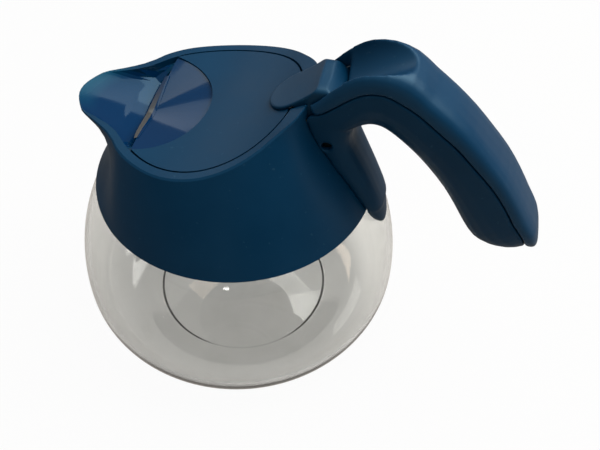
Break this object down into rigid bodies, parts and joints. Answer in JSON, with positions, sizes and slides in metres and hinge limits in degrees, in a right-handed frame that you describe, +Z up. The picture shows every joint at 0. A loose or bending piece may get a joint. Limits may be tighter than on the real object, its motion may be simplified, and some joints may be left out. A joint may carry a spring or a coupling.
{
  "type": "coffee carafe",
  "caption": "Round glass coffee jug in a moulded collar with a beak spout, a hinged lid worked by a thumb lever, and an open-ended curved handle.",
  "frame": {"origin": "middle of the jug's base, on the table", "axes": "+X towards the handle, -X towards the spout, +Z up"},
  "size_m": [0.1954, 0.14, 0.1478],
  "materials": {
    "glass": "clear, smooth",
    "silicone": "matte",
    "ring_plastic": "matte",
    "collar_plastic": "satin, glossy in the spout",
    "handle_plastic": "satin",
    "cover_plastic": "satin",
    "pin_plastic": "matte",
    "lid_plastic": "satin, glossy in the scoop",
    "lever_plastic": "satin",
    "steel": "ground"
  },
  "bodies": {
    "jug": {"glass_jug": "glass", "neck_seal": "silicone", "retaining_ring": "ring_plastic", "collar": "collar_plastic", "handle_body": "handle_plastic", "handle_cover": "cover_plastic", "lock_pin": "pin_plastic", "hinge_pin": "steel"},
    "lid": {"lid": "lid_plastic", "thumb_lever": "lever_plastic"}
  },
  "joints": [
    {"name": "lid_hinge", "type": "hinge", "parent": "jug", "child": "lid", "pos_m": [0.0306, 0, 0.123], "axis": [0, 1, 0], "range_deg": [0, 60]}
  ]
}
